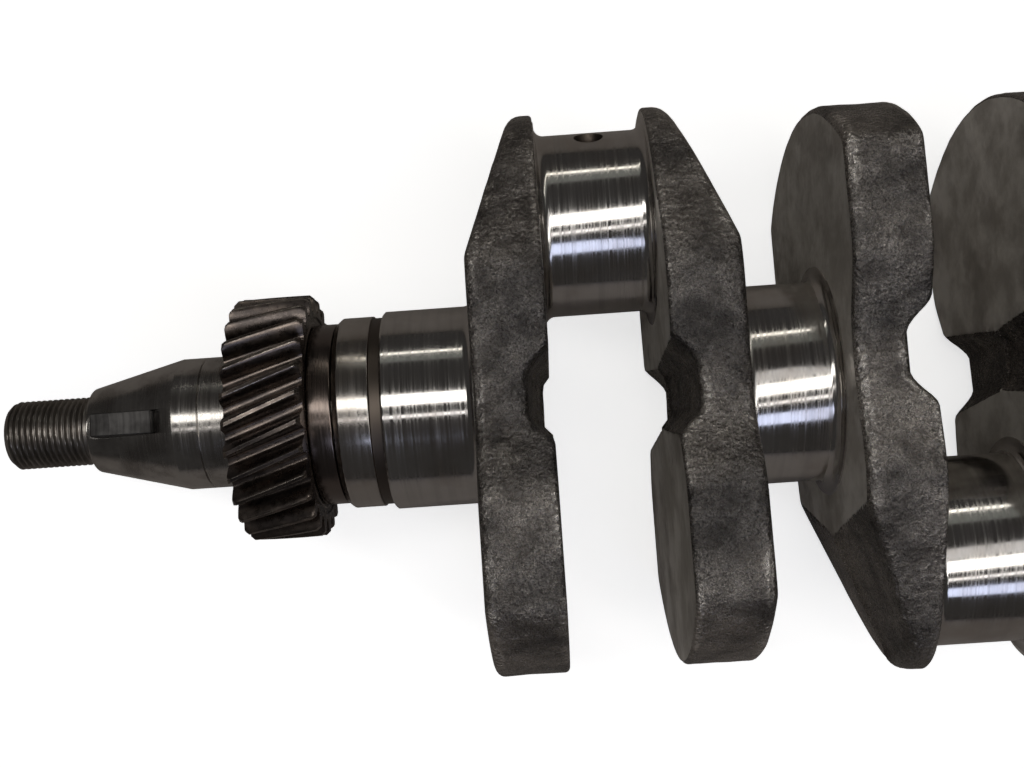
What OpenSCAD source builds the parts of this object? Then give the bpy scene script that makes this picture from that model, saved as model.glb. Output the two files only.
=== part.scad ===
// Four-throw crankshaft of a small in-line diesel engine, with its timing gear, keys and pilot bearing.
// The frame: X runs along the main journals, +X out of the flywheel flange, and the nose points to -X.
// Throws 1 and 4 point to +Y, throws 2 and 3 to -Y. The origin is the centre of the flywheel face.

/* [Journals] */
// Diameter of the main journals
main_d = 52; // [48:1:56]
// Width of main journals 1 to 4, between the webs
main_w = 23.5; // [20:0.5:28]
// Width of the rear main journal
rear_main_w = 27; // [24:1:32]
// Diameter of the crankpins
pin_d = 48; // [44:1:50]
// Width of a crankpin, between its webs
pin_w = 28.5; // [26:0.5:32]
// Throw of the crankpins, half of the stroke
throw = 46; // [42:1:48]
// Radius of the fillet at each end of a journal
fillet = 2.5; // [1:0.5:3]

/* [Webs] */
// Thickness of a web
web_t = 18.5; // [17:0.5:21]
// Radius of the counterweight's rim about the main axis
rim_r = 70.5; // [66:0.5:73]
// Half width of the counterweight between its side flats
fan_half = 48; // [44:1:52]
// Half width of the web across the main journal
waist_half = 40; // [36:1:42]
// Radius of the web's end about the crankpin
lobe_r = 29.75; // [28:0.25:31]
// Thickness left at the tip of the bevelled end
tip_t = 5.5; // [4:0.5:8]
// Depth of the forged recess in the crankpin side
recess_depth = 4.2; // [3:0.2:7]

/* [Nose] */
// Diameter of the front seal land
seal_d = 50; // [48:1:51]
// Width of the front seal land
seal_w = 12; // [10:0.5:14]
// Diameter of the seat under the gear and the spacer collar
seat_d = 40; // [38:1:42]
// Diameter of the plain nose in front of the gear
nose_d = 34.5; // [32:0.5:36]
// Length of the plain nose
nose_w = 15.5; // [12:0.5:20]
// Length of the pulley taper
taper_w = 24.5; // [20:0.5:30]
// Diameter of the small end of the taper
taper_d = 22; // [20:0.5:26]
// Outside diameter of the nose thread
thread_d = 18; // [16:1:20]
// Length of the nose thread
thread_w = 22.5; // [16:0.5:26]
// Width of the keys
key_w = 6; // [5:1:8]

/* [Timing gear] */
// Number of teeth
teeth = 28; // [24:1:32]
// Module across the helix
gear_module = 2; // [1.8:0.1:2.2]
// Helix angle
helix = 20; // [12:1:24]
// Width of the gear
gear_w = 19.4; // [16:0.2:22]
// Diameter of the spacer collar
collar_d = 47.4; // [44:0.2:49]

/* [Flywheel end] */
// Diameter of the rear seal land
rear_seal_d = 88; // [84:1:92]
// Width of the rear seal land
rear_seal_w = 15; // [12:1:20]
// Diameter of the flywheel flange
flange_d = 86; // [84:1:88]
// Thickness of the flywheel flange
flange_t = 10; // [8:1:14]
// Diameter of the flywheel bolt circle
bolt_pcd = 72; // [70:1:74]
// Number of flywheel bolts
bolt_count = 6; // [5:1:8]
// Diameter of the spigot that centres the flywheel
spigot_d = 58; // [56:1:60]

/* [Hidden] */
$fn = 96;
big = 200;

// Stations along X, counted forwards from the flywheel face
rear_seal_x = -flange_t - rear_seal_w;
pitch = main_w + pin_w + 2 * web_t;
main_x = [for (i = [0:4]) rear_seal_x - rear_main_w - (4 - i) * pitch];
pin_x = [for (i = [0:3]) main_x[i] + main_w + web_t];
seal_x = main_x[0] - seal_w;
collar_x = seal_x - 6.6;
gear_x = collar_x - gear_w;
nose_x = gear_x - nose_w;
taper_x = nose_x - taper_w;
thread_x = taper_x - thread_w;

// Turn of each throw about the main axis
throw_turn = [0, 180, 180, 0];

// Outline of a web
fan_y = 24;
waist_y = 10;
shoulder_y = 30;
bevel_y = 39;
recess_mid = -2;
recess_half = 5;
recess_slope = 5;

// Oil drilling from each crankpin to a main journal, by index
fed_from = [0, 1, 3, 4];
oil_d = 5;
oil_lean = 32;

// Keys
gear_key_w = 20;
gear_key_h = 5;
pulley_key_x = taper_x + 3.4;
pulley_key_w = 15.5;
pulley_key_gap = 2;
pulley_key_top = 17;
key_depth = 3.5;

// Tapped holes and dowel of the flange
bolt_hole_d = 10.8;
bolt_hole_w = 22;
spigot_t = 4;
dowel_d = 8;
dowel_seat_d = 9;
dowel_seat_w = 12;
dowel_out = 8;
dowel_turn = 30;

// Pilot bearing, 15 x 35 x 11
pilot_d = 15;
pilot_od = 35;
pilot_w = 11;
pilot_back = 2;
ball_d = 6;
ball_pcd = 25;
ball_count = 8;
race_gap = 0.05;
inner_od = 20.6;
outer_id = 29.4;
cage_t = 1.2;
cage_w = 7.6;
shield_t = 0.5;
shield_in = 0.4;
pilot_x = spigot_t - pilot_back - pilot_w;
pocket_d = 24;
pocket_w = 14;

// Timing gear
pitch_r = gear_module * teeth / cos(helix) / 2;
tip_r = pitch_r + gear_module;
root_r = pitch_r - 1.25 * gear_module;
gear_twist = gear_w * tan(helix) / pitch_r * 180 / PI;
gear_slices = 4;

// A round bar along X from x, w long
module bar(x, w, d) {
    translate([x, 0, 0]) rotate([0, 90, 0]) cylinder(h = w, d = d);
}

// A bar along X whose ends differ in diameter
module cone(x, w, d1, d2) {
    translate([x, 0, 0]) rotate([0, 90, 0]) cylinder(h = w, d1 = d1, d2 = d2);
}

// A bar with both ends bevelled
module bevelled_bar(x, w, d, b) {
    cone(x, b, d - 2 * b, d);
    bar(x + b, w - 2 * b, d);
    cone(x + w - b, b, d, d - 2 * b);
}

// A ring along X
module ring(x, w, d_out, d_in) {
    difference() {
        bar(x, w, d_out);
        bar(x - 1, w + 2, d_in);
    }
}

// A cylinder with a hollow fillet at each end that is asked for
module journal(x, w, d, front = true, rear = true) {
    r = d / 2;
    translate([x, 0, 0]) rotate([0, 90, 0]) rotate_extrude() {
        square([r, w]);
        if (front) fillet_section(r);
        if (rear) translate([0, w]) mirror([0, 1]) fillet_section(r);
    }
}

// The section of one fillet, at the corner of a journal and its web
module fillet_section(r) {
    difference() {
        translate([r - 1, 0]) square([fillet + 1, fillet]);
        translate([r + fillet, fillet]) circle(r = fillet);
    }
}

// The straight oil drilling of crankpin i, which leaves the pin outwards and crosses to its main journal.
// The four openings in the main journals all face -Z, so that end changes side with the throw.
module oil_drilling(i) {
    side = cos(throw_turn[i]);
    feed_w = fed_from[i] == 4 ? rear_main_w : main_w;
    from = [pin_x[i] + pin_w / 2, throw + pin_d / 2 * cos(oil_lean), pin_d / 2 * sin(oil_lean)];
    to = [main_x[fed_from[i]] + feed_w / 2, -main_d / 2 * cos(oil_lean), -side * main_d / 2 * sin(oil_lean)];
    run = to - from;
    over = 6;
    rotate([throw_turn[i], 0, 0]) translate(from)
        rotate([0, acos(run[2] / norm(run)), atan2(run[1], run[0])])
        translate([0, 0, -over]) cylinder(h = norm(run) + 2 * over, d = oil_d, $fn = 32);
}

// A keyway with a flat floor, cut in from the top
module keyway(x, w, floor_z) {
    translate([x, -key_w / 2, floor_z]) cube([w, key_w, big]);
}

module nose_thread() color("#4a423c") {
    cone(thread_x, 1.5, thread_d - 3, thread_d);
    bar(thread_x + 1.5, thread_w - 1.5, thread_d);
}

module nose_taper() color("#6d6760") difference() {
    cone(taper_x, taper_w, taper_d, nose_d);
    keyway(taper_x - 1, pulley_key_x - taper_x + 1 + pulley_key_w + pulley_key_gap, pulley_key_top - key_w);
}

module nose_cylinder() color("#777069") bar(nose_x, nose_w, nose_d);

module gear_seat() color("#6b655e") difference() {
    bar(gear_x, seal_x - gear_x, seat_d);
    keyway(gear_x, gear_key_w, seat_d / 2 - key_depth);
}

module front_seal_land() color("#8b8680") {
    cone(seal_x, 1.5, seal_d - 3, seal_d);
    bar(seal_x + 1.5, 7.3, seal_d);
    bar(seal_x + 8.8, seal_w - 8.8, seal_d - 0.8);
}

// Main journal i, counted from 0 at the nose
module main_journal(i) color("#a09c98") difference() {
    journal(main_x[i], i == 4 ? rear_main_w : main_w, main_d, i > 0, i < 4);
    for (p = [0:3]) if (fed_from[p] == i) oil_drilling(p);
}

// Crankpin i, counted from 0 at the nose
module crankpin(i) color("#a6a29e") difference() {
    rotate([throw_turn[i], 0, 0]) translate([0, throw, 0]) journal(pin_x[i], pin_w, pin_d);
    oil_drilling(i);
}

// Half outline of a web's waist, from the counterweight to the end round the crankpin
function waist_points() =
    let (reach = [shoulder_y - throw, waist_half])
    let (touch = atan2(reach[1], reach[0]) - acos(lobe_r / norm(reach)))
    [[-fan_y - 1, fan_half], [-fan_y, fan_half], [-waist_y, waist_half], [shoulder_y, waist_half],
        [throw + lobe_r * cos(touch), lobe_r * sin(touch)]];

// A slab of web thickness along Z, its throw along X: the waist, the end round the crankpin, the counterweight
module web_slab() {
    half = waist_points();
    linear_extrude(web_t)
        polygon(concat(half, [for (k = [len(half) - 1:-1:0]) [half[k][0], -half[k][1]]]));
    translate([throw, 0, 0]) cylinder(h = web_t, r = lobe_r);
    intersection() {
        cylinder(h = web_t, r = rim_r);
        translate([-rim_r - 1, -fan_half, -1]) cube([rim_r + 1 - fan_y, 2 * fan_half, web_t + 2]);
    }
}

// A web with its main journal side at x = 0, its crankpin side at x = web_t and its throw along +Y
module web_shape() {
    difference() {
        rotate([0, 90, 0]) rotate([0, 0, 90]) web_slab();
        // bevel that thins the end on the main journal side
        translate([0, 0, -big / 2]) linear_extrude(big)
            polygon([[-1, bevel_y - 1.5], [0, bevel_y], [web_t - tip_t, throw + lobe_r],
                [web_t - tip_t, throw + lobe_r + 1], [-1, throw + lobe_r + 1]]);
        // recess across the crankpin side, nearly level with the main axis
        translate([web_t, recess_mid, -big / 2]) linear_extrude(big)
            polygon([[1, -recess_half - recess_slope - 1], [0, -recess_half - recess_slope],
                [-recess_depth, -recess_half], [-recess_depth, recess_half],
                [0, recess_half + recess_slope], [1, recess_half + recess_slope + 1]]);
    }
}

// Web k, counted from 0 at the nose
module web(k) {
    i = floor(k / 2);
    color("#3f3a36") difference() {
        rotate([throw_turn[i], 0, 0])
            if (k % 2 == 0) translate([pin_x[i] - web_t, 0, 0]) web_shape();
            else translate([pin_x[i] + pin_w + web_t, 0, 0]) mirror([1, 0, 0]) web_shape();
        oil_drilling(i);
    }
}

// The round hole for the pilot bearing and the pocket in front of it
module pilot_bore() {
    bar(pilot_x, big, pilot_od);
    bar(pilot_x - pocket_w, pocket_w + 1, pocket_d);
}

module bolt_holes() {
    for (k = [0:bolt_count - 1]) rotate([k * 360 / bolt_count, 0, 0])
        translate([0, bolt_pcd / 2, 0]) bar(-bolt_hole_w, big, bolt_hole_d);
}

// The shouldered dowel's pressed-in length, made longer by extra
module dowel_seat(extra) {
    rotate([dowel_turn, 0, 0]) translate([0, bolt_pcd / 2, 0])
        bar(-dowel_seat_w, dowel_seat_w + extra, dowel_seat_d);
}

module rear_seal_land() color("#8f8b86") difference() {
    bar(rear_seal_x, rear_seal_w, rear_seal_d);
    pilot_bore();
    bolt_holes();
    dowel_seat(1);
}

module flywheel_flange() color("#85807a") difference() {
    union() {
        bar(-flange_t, flange_t - 1, flange_d);
        cone(-1, 1, flange_d, flange_d - 2);
        bar(-1, spigot_t, spigot_d);
        cone(spigot_t - 1, 1, spigot_d, spigot_d - 2);
    }
    pilot_bore();
    bolt_holes();
    dowel_seat(1);
}

// Section of one tooth space, from below the tip circle to the root, as a trapezium with a flank each side
module tooth_section(k) {
    step = 360 / teeth;
    rotate(k * step) polygon([
        for (p = [[root_r - 1, -0.36], [root_r + 0.3, -0.34], [pitch_r, -0.25], [tip_r, -0.12],
            [tip_r, 0.12], [pitch_r, 0.25], [root_r + 0.3, 0.34], [root_r - 1, 0.36]])
            p[0] * [cos(p[1] * step), sin(p[1] * step)]]);
}

module timing_gear() color("#33291f") difference() {
    translate([gear_x, 0, 0]) rotate([0, 90, 0])
        linear_extrude(gear_w, twist = gear_twist, slices = gear_slices) {
            circle(r = root_r);
            for (k = [0:teeth - 1]) tooth_section(k);
        }
    bar(gear_x - 1, gear_w + 2, seat_d);
    translate([gear_x - 1, -key_w / 2, 0]) cube([gear_w + 2, key_w, seat_d / 2 + gear_key_h - key_depth]);
}

module spacer_collar() color("#3a2f28") difference() {
    bevelled_bar(collar_x, seal_x - collar_x, collar_d, 0.6);
    bar(collar_x - 1, big, seat_d);
    translate([collar_x - 1, -key_w / 2, 0]) cube([big, key_w, seat_d / 2 + gear_key_h - key_depth]);
}

module gear_key() color("#5c5650")
    translate([gear_x, -key_w / 2, seat_d / 2 - key_depth]) cube([gear_key_w, key_w, gear_key_h]);

module pulley_key() color("#57504a")
    translate([pulley_key_x, -key_w / 2, pulley_key_top - key_w]) cube([pulley_key_w, key_w, key_w]);

module flywheel_dowel() color("#96928d") {
    dowel_seat(0);
    rotate([dowel_turn, 0, 0]) translate([0, bolt_pcd / 2, 0]) bar(-1, dowel_out + 1, dowel_d);
}

// A ring of the pilot bearing with its ball groove
module race(d_out, d_in) {
    difference() {
        ring(pilot_x, pilot_w, d_out, d_in);
        translate([pilot_x + pilot_w / 2, 0, 0]) rotate([0, 90, 0]) rotate_extrude()
            translate([ball_pcd / 2, 0]) circle(d = ball_d + 2 * race_gap);
    }
}

module pilot_outer_ring() color("#b4b2b0") race(pilot_od, outer_id);

module pilot_inner_ring() color("#bab8b6") race(inner_od, pilot_d);

module pilot_balls() color("#d0cfcd")
    for (k = [0:ball_count - 1]) rotate([k * 360 / ball_count, 0, 0])
        translate([pilot_x + pilot_w / 2, ball_pcd / 2, 0]) sphere(d = ball_d);

module pilot_cage() color("#a08a55") difference() {
    ring(pilot_x + (pilot_w - cage_w) / 2, cage_w, ball_pcd + cage_t, ball_pcd - cage_t);
    for (k = [0:ball_count - 1]) rotate([k * 360 / ball_count, 0, 0])
        translate([pilot_x + pilot_w / 2, 0, 0]) rotate([-90, 0, 0])
        cylinder(h = ball_pcd, d = ball_d + 2 * race_gap);
}

module pilot_shields() color("#8a8a88") {
    for (x = [pilot_x + shield_in, pilot_x + pilot_w - shield_in - shield_t])
        ring(x, shield_t, outer_id, inner_od + 0.6);
}

nose_thread();
nose_taper();
nose_cylinder();
gear_seat();
front_seal_land();
for (i = [0:4]) main_journal(i);
for (i = [0:3]) crankpin(i);
for (k = [0:7]) web(k);
rear_seal_land();
flywheel_flange();
timing_gear();
spacer_collar();
gear_key();
pulley_key();
flywheel_dowel();
pilot_outer_ring();
pilot_inner_ring();
pilot_balls();
pilot_cage();
pilot_shields();
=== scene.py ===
"""Visual model of a forged crankshaft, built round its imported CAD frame.

Everything is in metres in the CAD frame: +X runs along the main journals and out of the flywheel
flange, +Y is the throw of crankpins 1 and 4, and +Z is square to the plane of the throws.
"""

import math

import bmesh
import bpy
import numpy as np
from mathutils import Matrix, Vector, noise


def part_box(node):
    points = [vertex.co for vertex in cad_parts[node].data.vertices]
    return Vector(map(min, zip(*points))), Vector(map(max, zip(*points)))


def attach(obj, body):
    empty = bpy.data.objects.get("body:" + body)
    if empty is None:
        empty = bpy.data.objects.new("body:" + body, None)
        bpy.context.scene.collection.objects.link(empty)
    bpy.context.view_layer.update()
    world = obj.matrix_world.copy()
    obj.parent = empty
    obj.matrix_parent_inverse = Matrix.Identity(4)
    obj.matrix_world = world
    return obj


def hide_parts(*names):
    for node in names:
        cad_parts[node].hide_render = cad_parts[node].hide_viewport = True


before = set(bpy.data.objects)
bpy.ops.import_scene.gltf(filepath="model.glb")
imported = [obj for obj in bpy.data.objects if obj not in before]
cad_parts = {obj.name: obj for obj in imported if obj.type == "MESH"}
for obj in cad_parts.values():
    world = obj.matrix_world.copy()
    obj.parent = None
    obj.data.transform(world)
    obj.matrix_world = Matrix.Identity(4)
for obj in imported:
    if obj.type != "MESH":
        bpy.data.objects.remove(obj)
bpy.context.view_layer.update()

MM = 0.001


# ---------------------------------------------------------------- dimensions read from the frame

def span(node):
    """Lowest and highest x of a CAD node."""
    low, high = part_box(node)
    return low.x, high.x


def middle(node):
    """Middle of a CAD node's box."""
    low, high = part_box(node)
    return (low + high) / 2


def radius(node):
    """Largest radius of a round CAD node that lies along X."""
    low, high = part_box(node)
    return (high.y - low.y) / 2


WEB_LOW, WEB_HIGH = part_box("web_1")
WEB_T = WEB_HIGH.x - WEB_LOW.x
THROW = middle("crankpin_1").y
RIM_R = -WEB_LOW.y
FAN_HALF = WEB_HIGH.z
LOBE_R = WEB_HIGH.y - THROW
FLOOR_Z = WEB_LOW.z

FILLET = 2.5 * MM
MAIN_R = radius("main_journal_2") - FILLET
PIN_R = radius("crankpin_1") - FILLET
WAIST_HALF = 40 * MM
SHOULDER_Y = 30 * MM
WAIST_Y = -10 * MM
FAN_Y = -24 * MM
RIDGE_Y = 40.5 * MM
BEVEL_SLOPE = 0.355
DRAFT = 0.08
RECESS_Y = -2 * MM
RECESS_DEPTH = 2.6 * MM
RECESS_FLOOR = 5 * MM
RECESS_WALL = 1.15


# ---------------------------------------------------------------- shader helpers

class Shader:
    """A material's node tree, with a short way to add and join nodes."""

    def __init__(self, name):
        self.material = bpy.data.materials.new(name)
        self.material.use_nodes = True
        self.tree = self.material.node_tree
        self.bsdf = self.tree.nodes["Principled BSDF"]
        coordinates = self.tree.nodes.new("ShaderNodeTexCoord")
        self.position = coordinates.outputs["Object"]

    def add(self, kind, **inputs):
        """Adds a node, with its inputs given by socket name, and returns its first output."""
        made = self.tree.nodes.new(kind)
        for key, value in inputs.items():
            self.feed(made.inputs[key], value)
        return made.outputs[0]

    def feed(self, socket, value):
        """Joins an output to a socket, or sets the socket's own value."""
        if isinstance(value, bpy.types.NodeSocket):
            self.tree.links.new(value, socket)
        else:
            socket.default_value = value

    def math(self, operation, a, b=0.0):
        """A math node."""
        made = self.tree.nodes.new("ShaderNodeMath")
        made.operation = operation
        self.feed(made.inputs[0], a)
        self.feed(made.inputs[1], b)
        return made.outputs[0]

    def ramp(self, value, low, high, to_low=0.0, to_high=1.0):
        """Maps low..high smoothly to to_low..to_high."""
        made = self.tree.nodes.new("ShaderNodeMapRange")
        made.interpolation_type = "SMOOTHSTEP"
        self.feed(made.inputs["Value"], value)
        made.inputs["From Min"].default_value = low
        made.inputs["From Max"].default_value = high
        made.inputs["To Min"].default_value = to_low
        made.inputs["To Max"].default_value = to_high
        return made.outputs["Result"]

    def mix(self, factor, a, b):
        """Mixes two colours."""
        made = self.tree.nodes.new("ShaderNodeMix")
        made.data_type = "RGBA"
        self.feed(made.inputs[0], factor)
        self.feed(made.inputs[6], a)
        self.feed(made.inputs[7], b)
        return made.outputs[2]

    def blend(self, factor, a, b):
        """Mixes two numbers."""
        made = self.tree.nodes.new("ShaderNodeMix")
        made.data_type = "FLOAT"
        self.feed(made.inputs[0], factor)
        self.feed(made.inputs[2], a)
        self.feed(made.inputs[3], b)
        return made.outputs[0]

    def stretched(self, x, y, z, shift=0.0):
        """The position scaled by x, y and z per metre."""
        made = self.tree.nodes.new("ShaderNodeMapping")
        made.inputs["Scale"].default_value = (x, y, z)
        made.inputs["Location"].default_value = (shift, shift, shift)
        self.feed(made.inputs["Vector"], self.position)
        return made.outputs["Vector"]

    def noise(self, vector, detail=3.0, rough=0.55):
        """A noise value from 0 to 1; the vector alone sets the size of its features."""
        made = self.tree.nodes.new("ShaderNodeTexNoise")
        self.feed(made.inputs["Vector"], vector)
        made.inputs["Scale"].default_value = 1.0
        made.inputs["Detail"].default_value = detail
        made.inputs["Roughness"].default_value = rough
        return made.outputs["Fac"]

    def radial(self, centre_y=0.0):
        """Distance from a line along X at height centre_y, in metres."""
        separate = self.add("ShaderNodeSeparateXYZ", Vector=self.position).node
        y = self.math("SUBTRACT", separate.outputs["Y"], centre_y)
        squares = self.math("ADD", self.math("MULTIPLY", y, y),
                            self.math("MULTIPLY", separate.outputs["Z"], separate.outputs["Z"]))
        return self.math("SQRT", squares)

    def attribute(self, name):
        """A number stored on the mesh's points."""
        made = self.tree.nodes.new("ShaderNodeAttribute")
        made.attribute_name = name
        return made.outputs["Fac"]

    def bump(self, height, distance, strength=1.0, normal=None):
        """A bump normal; distance is in metres."""
        made = self.tree.nodes.new("ShaderNodeBump")
        made.inputs["Distance"].default_value = distance
        made.inputs["Strength"].default_value = strength
        self.feed(made.inputs["Height"], height)
        if normal is not None:
            self.feed(made.inputs["Normal"], normal)
        return made.outputs["Normal"]

    def finish(self, color, roughness, normal, metallic=1.0):
        """Feeds the surface's sockets."""
        self.feed(self.bsdf.inputs["Base Color"], color)
        self.feed(self.bsdf.inputs["Roughness"], roughness)
        self.feed(self.bsdf.inputs["Metallic"], metallic)
        self.feed(self.bsdf.inputs["Normal"], normal)
        return self.material


# ---------------------------------------------------------------- materials

def forged_material():
    """Shot-blasted, oiled forging; where the point attribute 'cut' is below 0 it is turned bare."""
    s = Shader("forged")
    grain = s.noise(s.stretched(2500, 2500, 2500), detail=3, rough=0.6)
    pits = s.noise(s.stretched(900, 900, 900, 7.0), detail=3, rough=0.6)
    lumps = s.noise(s.stretched(120, 120, 120, 3.0), detail=3)
    stain = s.noise(s.stretched(42, 42, 42, 11.0), detail=4, rough=0.6)
    peel = s.noise(s.stretched(430, 430, 430, 17.0), detail=2, rough=0.5)
    wear_and_glint = s.attribute("wear_and_glint")
    # Worn rounded edges painted near-white in patches: wear together with a painted highlight where the
    # edges would catch the lamps.
    edge = s.math("MULTIPLY", s.ramp(wear_and_glint, 0.1, 0.8), s.ramp(pits, 0.44, 0.58))
    edge = s.math("MULTIPLY", edge, s.ramp(stain, 0.46, 0.62))
    dark = s.mix(s.ramp(stain, 0.35, 0.65), (0.055, 0.051, 0.049, 1), (0.128, 0.114, 0.105, 1))
    light = s.mix(s.ramp(stain, 0.3, 0.7), (0.285, 0.266, 0.255, 1), (0.74, 0.68, 0.625, 1))
    scale_color = s.mix(s.ramp(grain, 0.30, 0.72), dark, light)
    scale_color = s.mix(s.ramp(lumps, 0.32, 0.62, 0.7, 0.0), scale_color, dark)
    scale_color = s.mix(s.math("MULTIPLY", edge, 0.8), scale_color, (0.92, 0.87, 0.81, 1))
    scale_rough = s.ramp(pits, 0.3, 0.7, 0.35, 0.22)

    arcs = s.noise(s.add("ShaderNodeCombineXYZ", X=s.math("MULTIPLY", s.radial(), 2600),
                         Y=s.math("MULTIPLY", s.radial(THROW), 300)), detail=3)
    film = s.noise(s.stretched(60, 60, 60, 5.0), detail=5, rough=0.62)
    turned_color = s.mix(s.ramp(film, 0.36, 0.66), (0.50, 0.47, 0.43, 1), (0.80, 0.77, 0.72, 1))
    turned_color = s.mix(s.math("MULTIPLY", s.ramp(stain, 0.52, 0.7), 0.6), turned_color,
                         (0.30, 0.27, 0.24, 1))
    turned_rough = s.ramp(film, 0.3, 0.7, 0.60, 0.46)

    ragged = s.math("ADD", s.attribute("cut"), s.math("MULTIPLY", s.math("SUBTRACT", pits, 0.5), 0.9))
    rough_skin = s.ramp(ragged, -0.12, 0.12)
    color = s.mix(rough_skin, turned_color, scale_color)
    rough = s.blend(rough_skin, turned_rough, scale_rough)
    height = s.math("ADD", s.math("MULTIPLY", grain, 0.6), s.math("MULTIPLY", pits, 1.1))
    height = s.math("MULTIPLY", height, rough_skin)
    fine = s.bump(s.math("MULTIPLY", arcs, s.math("SUBTRACT", 1.0, rough_skin)), 0.02 * MM, 0.6)
    mid = s.bump(lumps, 1.5 * MM, 0.8, fine)
    mid = s.bump(s.math("MULTIPLY", peel, rough_skin), 0.55 * MM, 0.8, mid)
    return s.finish(color, rough, s.bump(height, 0.55 * MM, 1.0, mid),
                    metallic=s.blend(rough_skin, 0.6, 0.98))


def ground_material(name, color, tarnish, rough_low, rough_high, line_depth=0.006, dull_from=None):
    """Ground or polished steel with fine lines round the axis; dull and dark from x = dull_from on."""
    s = Shader(name)
    lines = s.noise(s.stretched(2300, 22, 22), detail=4, rough=0.65)
    bands = s.noise(s.stretched(420, 10, 10, 4.0), detail=3)
    film = s.noise(s.stretched(55, 55, 55, 9.0), detail=4, rough=0.6)
    tint = s.mix(s.math("MULTIPLY", s.ramp(film, 0.42, 0.72), tarnish), color,
                 tuple(c * k for c, k in zip(color[:3], (0.62, 0.56, 0.50))) + (1,))
    tint = s.mix(s.math("MULTIPLY", s.ramp(bands, 0.45, 0.7), 0.45), tint,
                 tuple(0.72 * c for c in color[:3]) + (1,))
    rough = s.math("ADD", s.ramp(lines, 0.3, 0.75, rough_low, rough_high),
                   s.math("MULTIPLY", s.ramp(film, 0.5, 0.8), 0.06))
    if dull_from is not None:
        x = s.add("ShaderNodeSeparateXYZ", Vector=s.position)
        dull = s.ramp(x, dull_from - 0.1 * MM, dull_from + 0.2 * MM)
        tint = s.mix(dull, tint, (0.12, 0.100, 0.085, 1))
        rough = s.blend(dull, rough, 0.42)
    return s.finish(tint, rough, s.bump(lines, line_depth * MM, 0.8))


def turned_material(name, color, dark, rough_low, rough_high, line_depth=0.03):
    """Turned steel: lines round the axis on cylinders and on faces, with patches of dried oil."""
    s = Shader(name)
    x = s.add("ShaderNodeSeparateXYZ", Vector=s.position)
    across = s.math("ADD", s.math("MULTIPLY", x, 2400), s.math("MULTIPLY", s.radial(), 2400))
    lines = s.noise(s.add("ShaderNodeCombineXYZ", X=across, Y=s.math("MULTIPLY", s.radial(), 20)),
                    detail=4, rough=0.65)
    film = s.noise(s.stretched(90, 90, 90, 2.0), detail=5, rough=0.62)
    spots = s.noise(s.stretched(480, 480, 480, 6.0), detail=2)
    tint = s.mix(s.ramp(film, 0.38, 0.68), color, dark)
    tint = s.mix(s.math("MULTIPLY", s.ramp(spots, 0.6, 0.72), 0.45), tint, dark)
    rough = s.math("ADD", s.ramp(lines, 0.3, 0.7, rough_low, rough_high),
                   s.math("MULTIPLY", s.ramp(film, 0.45, 0.7), 0.10))
    return s.finish(tint, rough, s.bump(lines, line_depth * MM, 0.7))


def gear_material():
    """Hardened, oiled gear steel: brown-black, painted bright where the flanks and edges are worn, with a
    painted highlight along the tooth edges.
    """
    s = Shader("gear")
    grain = s.noise(s.stretched(700, 700, 700), detail=3, rough=0.55)
    streak = s.noise(s.stretched(90, 320, 320, 3.0), detail=3)
    wear_and_glint = s.attribute("wear_and_glint")
    shade = s.mix(s.ramp(streak, 0.35, 0.7), (0.105, 0.090, 0.084, 1), (0.23, 0.190, 0.165, 1))
    # Worn flanks and edges painted bright: real wear together with a painted edge highlight.
    worn_and_glint = s.math("MULTIPLY", s.ramp(wear_and_glint, 0.5, 1.0), s.ramp(grain, 0.36, 0.6))
    color = s.mix(worn_and_glint, shade, (0.46, 0.42, 0.37, 1))
    rough = s.ramp(grain, 0.3, 0.7, 0.36, 0.25)
    return s.finish(color, rough, s.bump(grain, 0.012 * MM, 0.5))


def stage_material():
    """Plain pale floor, white to the eye, which the steel mirrors as a duller bench."""
    s = Shader("pale_floor")
    path = s.tree.nodes.new("ShaderNodeLightPath")
    s.feed(s.bsdf.inputs["Base Color"],
           s.mix(path.outputs["Is Glossy Ray"], (0.96, 0.96, 0.96, 1), (0.29, 0.265, 0.245, 1)))
    s.bsdf.inputs["Roughness"].default_value = 0.9
    s.bsdf.inputs["Emission Color"].default_value = (1.0, 1.0, 1.0, 1)
    s.feed(s.bsdf.inputs["Emission Strength"], s.math("MULTIPLY", path.outputs["Is Camera Ray"], 0.7))
    return s.material


SEAL_RELIEF_X = span("front_seal_land")[1] - 3.0 * MM
FORGED = forged_material()
GROUND = ground_material("ground", (0.64, 0.62, 0.60, 1), 0.6, 0.055, 0.22)
SEAL = ground_material("seal_land", (0.56, 0.53, 0.50, 1), 0.6, 0.12, 0.24, 0.010, SEAL_RELIEF_X)
REAR_SEAL = ground_material("rear_seal_land", (0.56, 0.53, 0.50, 1), 0.6, 0.12, 0.24, 0.010)
COLLAR = ground_material("collar", (0.18, 0.150, 0.136, 1), 0.6, 0.16, 0.28, 0.010)
TURNED = turned_material("turned", (0.56, 0.54, 0.515, 1), (0.30, 0.280, 0.262, 1), 0.12, 0.25)
THREAD = turned_material("thread", (0.34, 0.315, 0.29, 1), (0.19, 0.172, 0.155, 1), 0.30, 0.44)
KEY = turned_material("key", (0.12, 0.116, 0.114, 1), (0.07, 0.067, 0.065, 1), 0.50, 0.64)
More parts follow.
